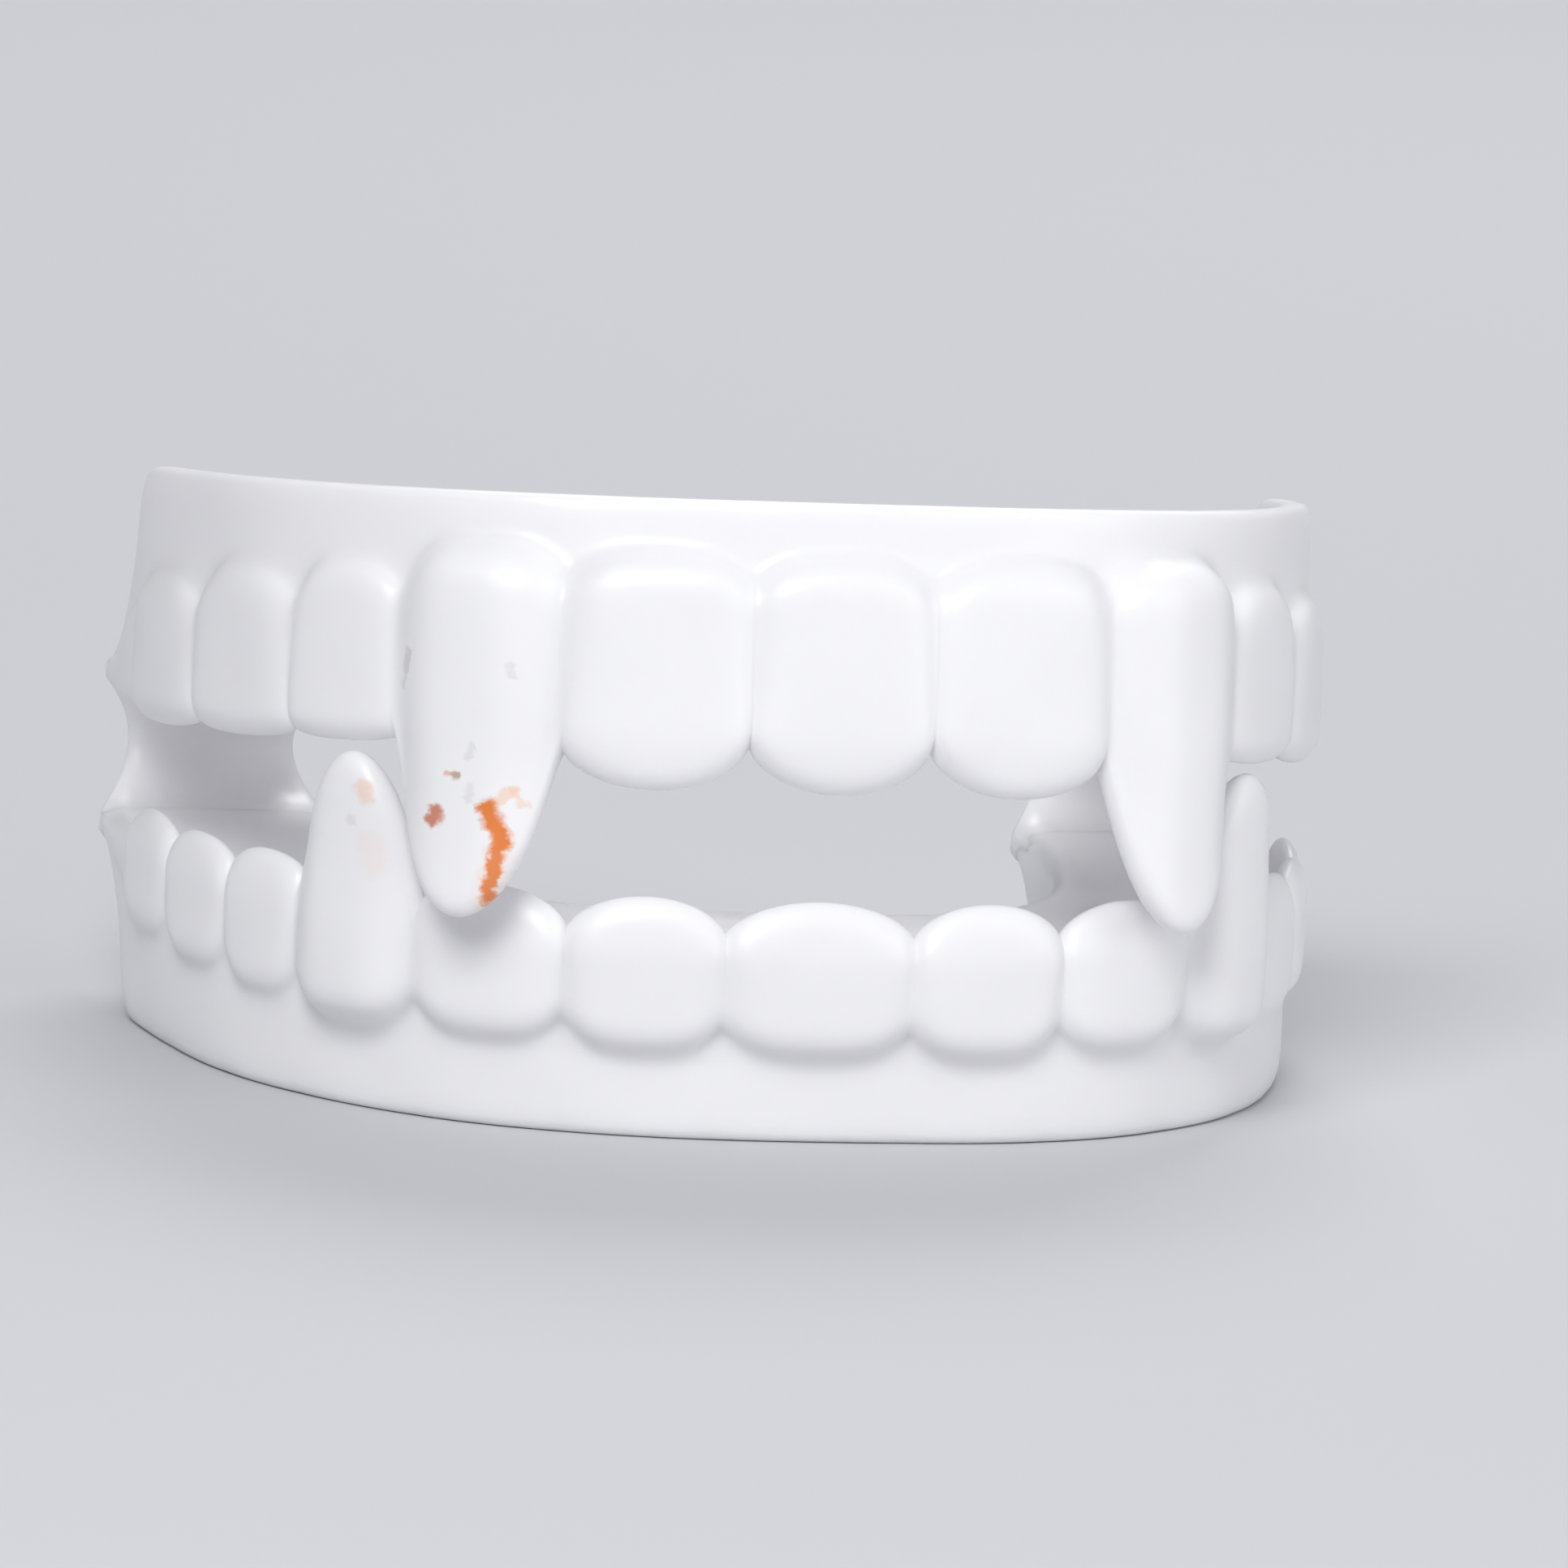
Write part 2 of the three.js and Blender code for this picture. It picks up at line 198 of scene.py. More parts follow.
def arch(depth):
    """Direction = quarter turn x (1 - exp(-rate x share^delay)), scaled to end at a full quarter turn.
    Place = running sum of the direction, stretched to the half width and depth. Returns the length
    and a function that gives place and outward normal for signed lengths."""
    share = np.arange(ARCH_STEPS + 1) / ARCH_STEPS
    quarter = np.pi / 2 / (1 - np.exp(-TURN_RATE))
    turn = quarter * (1 - np.exp(-TURN_RATE * share**TURN_DELAY))
    middle = quarter * (1 - np.exp(-TURN_RATE * ((share[1:] + share[:-1]) / 2) ** TURN_DELAY))
    x = np.concatenate([[0], np.cumsum(np.cos(middle))])
    y = np.concatenate([[0], np.cumsum(np.sin(middle))])
    across, behind = ARCH_HALF_WIDTH / x[-1], depth / y[-1]
    x, y = x * across, y * behind
    run = np.concatenate([[0], np.cumsum(np.hypot(np.diff(x), np.diff(y)))])

    def at(along):
        size = np.minimum(np.abs(along), run[-1])
        sign = np.where(along < 0, -1.0, 1.0)
        way = np.interp(size, run, turn)
        out = np.stack([sign * np.sin(way) * behind, -np.cos(way) * across], -1)
        out /= np.linalg.norm(out, axis=-1, keepdims=True)
        spot = np.stack([sign * np.interp(size, run, x), np.interp(size, run, y) - depth + HINGE_Y], -1)
        return spot, out

    return run[-1], at


print(f"outer wall runs {arch(ARCH_DEPTH)[0] * 1000:.1f} mm to each side")

# %% [markdown]
# Each tooth needs its place along the arch, and each valley between two teeth needs one depth
# that both teeth share, or the row would show steps. So the valleys are worked out first, from
# the two teeth beside them.

# %% Teeth along the arch
VALLEY_SHARE = 0.6  # how far a valley stands proud, as a share of its flatter tooth
GUM_SCALLOP = 1.3 * MM  # how far the gum line dips between two teeth
LOWEST_NOTCH = 0.35 * MM


def valley(tray, a, b):
    """Between two teeth: the lower gum line, the shorter edge raised by the notch, and the flatter face."""
    depth = min(a["parting"], b["parting"]) * tray["notch"]
    notch = min(max(a["edge"], b["edge"]) + depth, -SHELF_HALF - LOWEST_NOTCH)
    proud = VALLEY_SHARE * min(a["proud"], b["proud"]) * tray["relief"]
    return dict(gum=min(a["gum"], b["gum"]) - GUM_SCALLOP, notch=notch, proud=proud)


def place_teeth(tray, run_end):
    """Front teeth take their width from the named size, side teeth share the run that is left.
    Returns the teeth from side to side, each with its two valleys, and the valley behind the last."""
    rim = tray["wall"] + SHELF_HALF
    front_widths = [t["width"] * tray["tooth"] for t in tray["front"]]
    front_run = sum(front_widths) - front_widths[0] / 2
    one_side, start = [], 0.0
    for i, tooth in enumerate(tray["front"] + tray["sides"]):
        width = tooth["width"] * (tray["tooth"] if i < len(tray["front"]) else run_end - front_run)
        centre = start + width / 2 if i else 0.0
        start = centre + width / 2
        edge = -SHELF_HALF - tooth["reach"] * tray["fang"]
        one_side.append(dict(tooth, centre=centre, half=width / 2, edge=edge, gum=tooth["top"] * rim))
    teeth = [dict(t, centre=-t["centre"]) for t in one_side[:0:-1]] + one_side
    last = dict(valley(tray, teeth[-1], teeth[-1]), notch=-SHELF_HALF - LOWEST_NOTCH)
    between = [last] + [valley(tray, a, b) for a, b in zip(teeth, teeth[1:])] + [last]
    for tooth, before, after in zip(teeth, between, between[1:]):
        tooth.update(before=before, after=after)
    return teeth, last


upper_teeth, _ = place_teeth(upper, arch(upper["depth"])[0] - REAR_RUN)
print("upper teeth stand at mm:", [round(t["centre"] / MM, 1) for t in upper_teeth])

# %% [markdown]
# The section of a tray is a closed ring: down the face of the tooth, round its edge, up its back,
# along the shelf, round the inner wall, through the channel and up to the rim.
# A drawn outline could be swept along the arch, but the tooth part changes at every step. So the
# face and back of a tooth are formulas, and the rest is straight stretches between corners.

# %% Rows round a section
FACE_ROWS = np.linspace(0, 1, 30) ** 1.15  # closer together near the gum
EDGE_ROWS = np.sin(np.linspace(0, np.pi / 2, 10))[1:]
BACK_ROWS = np.linspace(0, 1, 17)[1:] ** 1.5
ABOVE_ROWS = 10
SHELF_ROWS = 22
WALL_ROWS = 12
INNER_RIM_ROWS = 6
OUTER_RIM_ROWS = 7
FLOOR_ROWS = 18
OUTER_SIDE = ABOVE_ROWS + len(FACE_ROWS) + len(EDGE_ROWS)
UNDERSIDE = OUTER_SIDE + len(BACK_ROWS) - 1 + SHELF_ROWS
INNER_SIDE = UNDERSIDE + WALL_ROWS
print("rows on the outer face and the underside:", OUTER_SIDE, UNDERSIDE - OUTER_SIDE)

# %% [markdown]
# The face of a tooth swells out of the gum over a short shoulder, thins towards its edge and
# closes there in a soft round. An extruded outline would have a flat face; this one is full in
# the middle, as carved teeth are.

# %% Face and back of a tooth
BLADE_BACK = 0.9 * MM  # how far a tooth goes back from the arch
VALLEY_BACK = 0.54 * MM
EDGE_ROUND = 1.2 * MM
SHOULDER = 1.6 * MM


def tooth_face(root, tip, gum, edge, proud, behind, flare, thin):
    """Along, out and height from the gum down the face, round the edge and up the back to the shelf.
    The face stands proud past a quarter-circle shoulder. Both faces lose thickness towards the edge, lean out
    with the square of the way past the shelf, and close in a half ellipse over the last stretch."""
    closing = 1 - np.minimum(EDGE_ROUND / (gum - edge), 0.5)
    at_shelf = (gum + SHELF_HALF) / (gum - edge)
    face = np.concatenate([closing * FACE_ROWS, closing + (1 - closing) * EDGE_ROWS], 1)
    share = np.concatenate([face, 1 + (at_shelf - 1) * BACK_ROWS], 1)
    past = np.clip((share - at_shelf) / (1 - at_shelf), 0, 1)
    end = np.clip((share - closing) / (1 - closing), 0, 1)
    rise = 1 - np.clip(share * (gum - edge) / SHOULDER, 0, 1)
    loss = thin * past * (proud + behind) / 2
    front, inside = proud * np.sqrt(1 - rise**2) - loss, loss - behind
    half = (front - inside) / 2 * np.sqrt(1 - end**2)
    side = np.where(np.arange(share.shape[1]) < face.shape[1], 1, -1)
    out = (front + inside) / 2 + side * half + flare * past**2
    return root + (tip - root) * share, out, gum + (edge - gum) * share


print("tooth faces are rounded over", EDGE_ROUND / MM, "mm at the edge")

# %% [markdown]
# The rest of the ring is plain: straight stretches from corner to corner, with rows enough to
# be softened later.

# %% The whole ring
def stretch(start, end, count):
    """Points from start up to, but not with, end, evenly spaced. Either may change from column to column."""
    share = np.arange(count) / count
    return start[:, None] * (1 - share) + end[:, None] * share


def sections(root, tip, gum, edge, proud, behind, flare, thin, rim):
    """Rows of along, out and height for every column: from the rim down to the gum, the face and back of
    the tooth, then straight along the shelf, round the inner wall, through the channel and up to the rim."""
    column = lambda value: np.broadcast_to(value, root.shape)[:, None]
    flat = lambda value: np.full(root.shape, value)
    values = map(column, (root, tip, gum, edge, proud, behind, flare, thin))
    along, out, height = tooth_face(*values)
    top = np.broadcast_to(rim, root.shape)
    inner_top = SHELF_HALF + np.minimum(INNER_WALL_HEIGHT, top - SHELF_HALF)
    corners = [
        (out[:, -1], height[:, -1], SHELF_ROWS),
        (flat(-TRAY_WIDTH), flat(-SHELF_HALF), WALL_ROWS),
        (flat(-TRAY_WIDTH), inner_top, INNER_RIM_ROWS),
        (flat(-TRAY_WIDTH + INNER_WALL), inner_top, WALL_ROWS),
        (flat(-TRAY_WIDTH + INNER_WALL), flat(SHELF_HALF), FLOOR_ROWS),
        (flat(-OUTER_WALL), flat(SHELF_HALF), WALL_ROWS),
        (flat(-OUTER_WALL), top, OUTER_RIM_ROWS),
        (flat(0.0), top, 0),
    ]
    plain_out = [stretch(a[0], b[0], a[2]) for a, b in zip(corners, corners[1:])]
    plain_height = [stretch(a[1], b[1], a[2]) for a, b in zip(corners, corners[1:])]
    above_out = stretch(flat(0.0), flat(0.0), ABOVE_ROWS)
    above_height = stretch(top, column(gum)[:, 0], ABOVE_ROWS)
    ring_out = np.concatenate([above_out, out[:, :-1], *plain_out], 1)
    ring_height = np.concatenate([above_height, height[:, :-1], *plain_height], 1)
    ring_along = np.repeat(column(root), ring_out.shape[1], 1)
    ring_along[:, ABOVE_ROWS : ABOVE_ROWS + along.shape[1] - 1] = along[:, :-1]
    return np.stack([ring_along, ring_out, ring_height], -1)


print("points round a section:", INNER_SIDE + INNER_RIM_ROWS + 2 * WALL_ROWS + FLOOR_ROWS + OUTER_RIM_ROWS)

# %% [markdown]
# The mould has no sharp corner anywhere. A bevel would need a width for every corner, so the grid
# is softened instead: each point becomes a mean of its neighbours, which rounds them in one go.

# %% Softening
BELL_REACH = 3  # spreads on each side, past which a bell curve counts for nothing


def soften(grid, axis, spread, closed):
    """Each point becomes a mean of its neighbours on one side of the grid, weighted by a bell curve."""
    reach = int(math.ceil(BELL_REACH * spread))
    weights = np.exp(-0.5 * (np.arange(-reach, reach + 1) / spread) ** 2)
    weights /= weights.sum()
    pad = [(reach, reach) if a == axis else (0, 0) for a in range(grid.ndim)]
    wide = np.pad(grid, pad, mode="wrap" if closed else "edge")
    size = grid.shape[axis]
    return sum(w * np.take(wide, np.arange(i, i + size), axis) for i, w in enumerate(weights))


corner = soften(np.array([0.0, 0.0, 0.0, 1.0, 1.0, 1.0]), 0, 1.0, False)
print("a step softened by one row:", corner.round(2).tolist())

# %% [markdown]
# One tooth is a block of columns. Across it, the edge falls from the valley as a superellipse, so
# a front tooth is nearly square and a fang is a long blunt cone once its tip is tapered. Two
# meshes joined by a boolean would leave a seam; here each block starts where the last one ends.

# %% Columns of one tooth
FANG_COLUMNS = 36
TOOTH_COLUMNS = 26


def tooth_columns(tray, tooth, rim):
    """With u the angle across the tooth as a sine, the edge falls by (1 - u^2)^(1/square), the face stands
    proud by the square root of 1 - u^round, and the tip narrows by taper times the fall."""
    count = FANG_COLUMNS if tooth["reach"] == 1 else TOOTH_COLUMNS
    across = 2 * np.arange(count) / count - 1
    turned = np.sin(across * np.pi / 2)
    pick = lambda key: np.where(across < 0, tooth["before"][key], tooth["after"][key])
    mix = lambda low, high, share: low + (high - low) * share
    fall = np.maximum(1 - turned**2, 0) ** (1 / tooth["square"])
    fullness = np.sqrt(1 - np.abs(turned) ** tooth["round"])
    return sections(
        root=tooth["centre"] + across * tooth["half"],
        tip=tooth["centre"] + turned * (1 - tooth["taper"] * fall) * tooth["half"],
        gum=mix(tooth["gum"], pick("gum"), np.abs(across) ** 3),
        edge=mix(pick("notch"), tooth["edge"], fall),
        proud=mix(pick("proud"), tooth["proud"] * tray["relief"], fullness),
        behind=mix(VALLEY_BACK, BLADE_BACK, fullness),
        flare=tooth["flare"] * tray["relief"] * fall,
        thin=tooth["thin"],
        rim=rim,
    )


upper_fang = tooth_columns(upper, upper_teeth[-1 - len(upper["sides"])], upper["wall"] + SHELF_HALF)
print("columns and rows of an upper fang:", upper_fang.shape[:2])

# %% [markdown]
# Behind the last tooth the walls run down into the shelf, which ends as a flat rounded tongue.
# The same ring is kept all the way, so the surface stays whole. Each side of the ring slides
# onto the same side of a rounded rectangle, which keeps walls upright while they sink.

# %% A rounded rectangle
SLAB_CORNER = 4.0


def unit_square(sides):
    """Points on a square from -1 to 1, clockwise from its upper outer corner, at the shares of each side."""
    corners = np.array([(1, 1), (1, -1), (-1, -1), (-1, 1), (1, 1)], float)
    return np.concatenate([a + (b - a) * s[:, None] for s, a, b in zip(sides, corners, corners[1:])])


def slab(along, width, thickness, square):
    """A rounded rectangle about the middle of the tray's width: points of the square divided by the root of
    the sum of their powers, so that |x|^n + |y|^n = 1."""
    unit = square / (np.abs(square) ** SLAB_CORNER).sum(1, keepdims=True) ** (1 / SLAB_CORNER)
    out = unit[:, 0] * width[:, None] / 2 - TRAY_WIDTH / 2
    height = unit[:, 1] * thickness[:, None] / 2
    return np.stack([np.repeat(along[:, None], len(square), 1), out, height], -1)


def smooth(share):
    """Zero to one along 3s^2 - 2s^3, level at both ends."""
    return share * share * (3 - 2 * share)


print("halfway along, smooth gives", smooth(0.5))

# %% [markdown]
# The rear end starts as the section behind the last tooth and ends as the rounded rectangle.
# In between, every point goes straight from the one to the other, slowly at both ends, so the
# walls run out in a smooth slope.

# %% Rear end of a tray
REAR_COLUMNS = 34
NOSE_COLUMNS = 8
NOSE = 0.9 * MM
HEIGHT_WEIGHT = 0.2  # how far a wall's height spreads its points over the slab


def rear_end(last, thin, length, rim):
    """Columns from the last valley to the rounded nose of the shelf. A point's share of its side is its
    share of the run along that side, in which height counts HEIGHT_WEIGHT."""
    share = np.linspace(0, 1, REAR_COLUMNS)
    along = length - REAR_RUN * (1 - share)
    plain = sections(along, along, last["gum"], last["notch"], last["proud"], VALLEY_BACK, 0.0, thin, rim)
    step = np.abs(np.diff(plain[0], axis=0, append=plain[:1, 0])) @ np.array([0, 1, HEIGHT_WEIGHT])
    run = np.concatenate([[0], np.cumsum(step)])
    ends = [0, OUTER_SIDE, UNDERSIDE, INNER_SIDE, plain.shape[1]]
    square = unit_square([(run[a:b] - run[a]) / (run[b] - run[a]) for a, b in zip(ends, ends[1:])])
    flat = slab(along, np.full(REAR_COLUMNS, TRAY_WIDTH), np.full(REAR_COLUMNS, SHELF), square)
    body = plain + (flat - plain) * smooth(share)[:, None, None]
    turn = np.linspace(0, np.pi / 2, NOSE_COLUMNS + 1)[1:]
    cut = 2 * NOSE * (1 - np.cos(turn))
    nose = slab(length + NOSE * np.sin(turn), TRAY_WIDTH - cut, SHELF - cut, square)
    return np.concatenate([body, nose])


print("the walls sink over", REAR_RUN / MM, "mm and the nose adds", NOSE / MM, "mm")

# %% [markdown]
# Grids become meshes in one place. Quads join neighbouring rings, and each open end is closed
# by a fan round its middle point. One large face could close an end too, but a fan shades
# evenly and stays closed when the mesh bends.

# %% From grid to mesh
def ring_faces(rings, count):
    """Quads join ring r to r + 1 and close round the ring; a fan about an added point closes each end."""
    r, i = np.meshgrid(np.arange(rings - 1), np.arange(count), indexing="ij")
    nxt = (i + 1) % count
    quads = [r * count + i, r * count + nxt, (r + 1) * count + nxt, (r + 1) * count + i]
    ring = np.arange(count)
    after = (ring + 1) % count
    base = (rings - 1) * count
    first = np.stack([np.full(count, rings * count), after, ring], -1)
    last = np.stack([np.full(count, rings * count + 1), base + ring, base + after], -1)
    return np.stack(quads, -1).reshape(-1, 4).tolist() + first.tolist() + last.tolist()


def ring_mesh(name, grid, place=None, flip=False):
    """Makes a closed mesh of a grid of (rings, points of a ring, 3), with the mean point of each end ring
    added. place, a grid of the same shape, is kept as an attribute."""
    with_ends = lambda g: np.concatenate([g.reshape(-1, 3), g[0].mean(0)[None], g[-1].mean(0)[None]])
    faces = [f[::-1] if flip else f for f in ring_faces(*grid.shape[:2])]
    mesh = bpy.data.meshes.new(name)
    mesh.from_pydata(with_ends(grid).tolist(), [], faces)
    mesh.polygons.foreach_set("use_smooth", np.ones(len(mesh.polygons), bool))
    if place is not None:
        kept = mesh.attributes.new("place", "FLOAT_VECTOR", "POINT")
        kept.data.foreach_set("vector", with_ends(place).astype(np.float32).ravel())
    mesh.update()
    obj = bpy.data.objects.new(name, mesh)
    bpy.context.scene.collection.objects.link(obj)
    print(name, len(mesh.polygons), "faces")
    return obj


# %% [markdown]
# Vinyl that has come out of a hand-carved mould is never quite even, so each tray gets a slow,
# very shallow unevenness before it is softened. It is a sum of a few waves rather than random
# numbers, so it comes out the same each time.

# %% Unevenness
UNEVEN = 0.045 * MM
waves = (
    dict(share=1.0, along=2.3 * MM, height=3.1 * MM, start=0.0),
    dict(share=1.0, along=3.7 * MM, height=-1.9 * MM, start=1.3),
    dict(share=0.3, along=1.1 * MM, height=-1.4 * MM, start=3.2708),
    dict(share=-0.3, along=1.1 * MM, height=1.4 * MM, start=4.0708),
)


def unevenness(along, height):
    """Depth x the sum of share x sin(along / its length + height / its height + start)."""
    parts = (w["share"] * np.sin(along / w["along"] + height / w["height"] + w["start"]) for w in waves)
    return UNEVEN * sum(parts)


print(f"the faces are uneven by up to {UNEVEN / MM * sum(abs(w['share']) for w in waves):.2f} mm")

# %% [markdown]
# The blocks of teeth and the two rear ends are put in a row, and the row is carried to the arch.
# A curve modifier could bend a straight row, but it stretches the teeth on the outside of the
# bend. Here each column is set out from the arch along its own normal, so teeth keep their width.

# %% Both trays
ROW_SPREAD = 1.3
COLUMN_SPREAD = 0.8


def tray_columns(tray, length):
    """The sections of a tray from one nose to the other, in a straight row."""
    rim = tray["wall"] + SHELF_HALF
    teeth, last = place_teeth(tray, length - REAR_RUN)
    end = rear_end(last, teeth[-1]["thin"], length, rim)
    start = end[::-1] * np.array([-1, 1, 1])
    blocks = [tooth_columns(tray, tooth, rim) for tooth in teeth]
    blocks[0] = blocks[0][1:]  # its first column is the last one of the rear end
    return np.concatenate([start, *blocks, end])


def tray_grid(tray):
    """All columns, made uneven where they aren't inside the channel and softened both ways, then carried to
    the arch: place + out x normal + height. Returns the points, and for each its length along the arch, 1 on
    the outer face or 0 elsewhere, and its height above the shelf."""
    length, at = arch(tray["depth"])
    grid = tray_columns(tray, length)
    outside = smooth(np.clip((grid[..., 1] + OUTER_WALL) / OUTER_WALL, 0, 1))
    grid[..., 1] += unevenness(grid[..., 0], grid[..., 2]) * outside
    grid = soften(soften(grid, 1, ROW_SPREAD, True), 0, COLUMN_SPREAD, False)
    spot, out = at(grid[..., 0])
    plan = spot + out * grid[..., 1:2]
    past = np.maximum(np.abs(grid[..., 0]) - length, 0)
    z = tray["shelf_z"] + tray["gum_side"] * grid[..., 2]
    place = grid * np.array([1, 0, 1])
    place[:, :OUTER_SIDE, 1] = 1
    return np.stack([plan[..., 0], plan[..., 1] + past, z], -1), place


def open_about_fold(points, share):
    """Turns points about the fold, front up, by a share of the open angle."""
    angle = -OPEN_ANGLE * share
    y, z = points[..., 1] - fold.y, points[..., 2] - fold.z
    turned = points.copy()
    turned[..., 1] = fold.y + y * np.cos(angle) - z * np.sin(angle)
    turned[..., 2] = fold.z + y * np.sin(angle) + z * np.cos(angle)
    return turned


lower_points, lower_place = tray_grid(lower)
upper_points, upper_place = tray_grid(upper)
lower_piece = ring_mesh("lower_tray", lower_points, lower_place, flip=True)
upper_piece = ring_mesh("upper_tray", open_about_fold(upper_points, 1.0), upper_place)

# %% [markdown]
# The hinge bands are strips of the same plastic, moulded in a loop between the two shelves.
# A strip could be bent with a modifier, but carrying a rounded rectangle along a path of two
# straights and a half circle gives the true shape. Its ends sink slowly into the shelves, so no
# edge shows where one moulding goes over into the other.

# %% Hinge bands
BAND_RINGS = 110
BAND_SIDE_POINTS = (6, 18, 6, 18)
BAND_SWELL = 0.05 * MM  # how far the strip stands outside the shelf where it leaves it
SINK_SLOPE = 0.06  # and how fast it sinks into the shelf from there
SUNK = 3 * MM  # how far it goes on inside
BAND_WIDTH = 8 * MM
BAND_THICKNESS = 1.1 * MM
FOLD_THICKNESS = 0.85 * MM
FOLD_SPREAD = 0.09  # width of the groove at the fold, as a share of the half circle
BEND_HALF = 2.4 * MM  # above and below the fold, the stretch that bends


def band_grid(sign):
    """Path = straight back inside the lower shelf, half circle of LOOP_RADIUS up, straight forward inside
    the upper shelf. The strip grows evenly while it is inside, narrows and thins to the crown by 3s^2 - 2s^3
    of the way from the shelf, and has a shallow bell-shaped groove at the fold. Points above the fold turn
    with the upper tray, again by 3s^2 - 2s^3."""
    half_loop = np.pi * LOOP_RADIUS
    run = np.linspace(-SUNK, half_loop + SUNK, BAND_RINGS)
    angle = np.clip(run / LOOP_RADIUS, 0, np.pi)
    straight = np.where(run < 0, run, np.where(run > half_loop, half_loop - run, 0.0))
    crown = smooth(1 - np.abs(2 * angle / np.pi - 1))
    width_root, thick_root = TRAY_WIDTH + 2 * BAND_SWELL, SHELF + 2 * BAND_SWELL
    groove = (BAND_THICKNESS - FOLD_THICKNESS) * np.exp(-(((angle / np.pi - 0.5) / FOLD_SPREAD) ** 2))
    sinking = 2 * SINK_SLOPE * -straight
    width = width_root + (BAND_WIDTH - width_root) * crown - sinking
    thick = thick_root + (BAND_THICKNESS - thick_root) * crown - groove - sinking
    ring = slab(run, width, thick, unit_square([np.arange(n) / n for n in BAND_SIDE_POINTS]))
    radius = LOOP_RADIUS - ring[..., 2]
    y = HINGE_Y + straight[:, None] + radius * np.sin(angle)[:, None]
    z = fold.z - radius * np.cos(angle)[:, None]
    points = np.stack([sign * (ARCH_HALF_WIDTH + ring[..., 1]), y, z], -1)
    share = smooth(np.clip((points[..., 2] - fold.z + BEND_HALF) / (2 * BEND_HALF), 0, 1))
    return open_about_fold(points, share)


right_band = ring_mesh("hinge_band_right", band_grid(-1), flip=True)
left_band = ring_mesh("hinge_band_left", band_grid(1))

# %% [markdown]
# The plastic is a bright white, soft vinyl: light goes a little way in before it comes back, so
# edges glow and creases turn a faint cool grey instead of black. The surface has a satin gloss
# that varies slightly, and a grain too fine to see as bumps.
# A plain white shader would look like paper. Subsurface scattering gives the depth, and noise
# on the object's own coordinates changes the gloss from place to place.

# %% White vinyl
WHITE = (0.91, 0.905, 0.92, 1.0)
NOISE_LOW, NOISE_HIGH = 0.25, 0.75
GLOSSY, DULL = 0.3, 0.42
FINE_SHARE = 0.25
RANGE_SOCKETS = ("From Min", "From Max", "To Min", "To Max")


def new_node(tree, kind, **values):
    """Adds a node and sets its plain properties or input sockets by name."""
    made = tree.nodes.new(kind)
    for key, value in values.items():
        if key in made.inputs:
            made.inputs[key].default_value = value
        else:
            setattr(made, key, value)
    return made


def vinyl_surface(tree, shader):
    """Roughness = a range of slow noise. Bump = slow noise + a share of fine noise."""
    where = new_node(tree, "ShaderNodeTexCoord")
    patches = new_node(tree, "ShaderNodeTexNoise", Scale=320.0, Detail=3.0, Roughness=0.55)
    tree.links.new(where.outputs["Object"], patches.inputs["Vector"])
    gloss = new_node(tree, "ShaderNodeMapRange")
    for socket, value in zip(RANGE_SOCKETS, (NOISE_LOW, NOISE_HIGH, GLOSSY, DULL)):
        gloss.inputs[socket].default_value = value
    tree.links.new(patches.outputs["Fac"], gloss.inputs["Value"])
    tree.links.new(gloss.outputs["Result"], shader.inputs["Roughness"])

    fine = new_node(tree, "ShaderNodeTexNoise", Scale=2600.0, Detail=2.0, Roughness=0.6)
    tree.links.new(where.outputs["Object"], fine.inputs["Vector"])
    both = new_node(tree, "ShaderNodeMath", operation="MULTIPLY_ADD")
    both.inputs[1].default_value = FINE_SHARE
    tree.links.new(fine.outputs["Fac"], both.inputs[0])
    tree.links.new(patches.outputs["Fac"], both.inputs[2])
    bump = new_node(tree, "ShaderNodeBump", Strength=0.1, Distance=0.1 * MM)
    tree.links.new(both.outputs["Value"], bump.inputs["Height"])
    tree.links.new(bump.outputs["Normal"], shader.inputs["Normal"])


def vinyl(name):
    """Principled shader with subsurface scattering, and the vinyl's gloss and grain."""
    material = bpy.data.materials.new(name)
    material.use_nodes = True
    shader = material.node_tree.nodes["Principled BSDF"]
    shader.inputs["Subsurface Weight"].default_value = 0.55
    shader.inputs["Subsurface Radius"].default_value = (1.0, 0.92, 0.95)
    shader.inputs["Subsurface Scale"].default_value = 0.9 * MM
    shader.inputs["IOR"].default_value = 1.48
    shader.inputs["Specular IOR Level"].default_value = 0.5
    vinyl_surface(material.node_tree, shader)
    return material, material.node_tree, shader


clean_vinyl, _, clean_shader = vinyl("white_vinyl")
clean_shader.inputs["Base Color"].default_value = WHITE
print("made", clean_vinyl.name)

# %% [markdown]
# Stage paint has got onto the two fangs at -X: an orange run down to the tip, a few redder dots
# and pale smears, and some grey specks.
# The marks could be painted by hand on an image. Here each is a short stroke on the face of a
# tooth, with a start and an end along the arch and above the shelf, so it needs no picture, and
# noise breaks up its edge as dried paint does.

# %% Marks of stage paint
GREY = (0.5, 0.47, 0.46, 1.0)
BROWN = (0.42, 0.24, 0.12, 1.0)
PEACH = (0.93, 0.6, 0.42, 1.0)
ORANGE = (0.8, 0.24, 0.05, 1.0)
RUST = (0.62, 0.17, 0.07, 1.0)

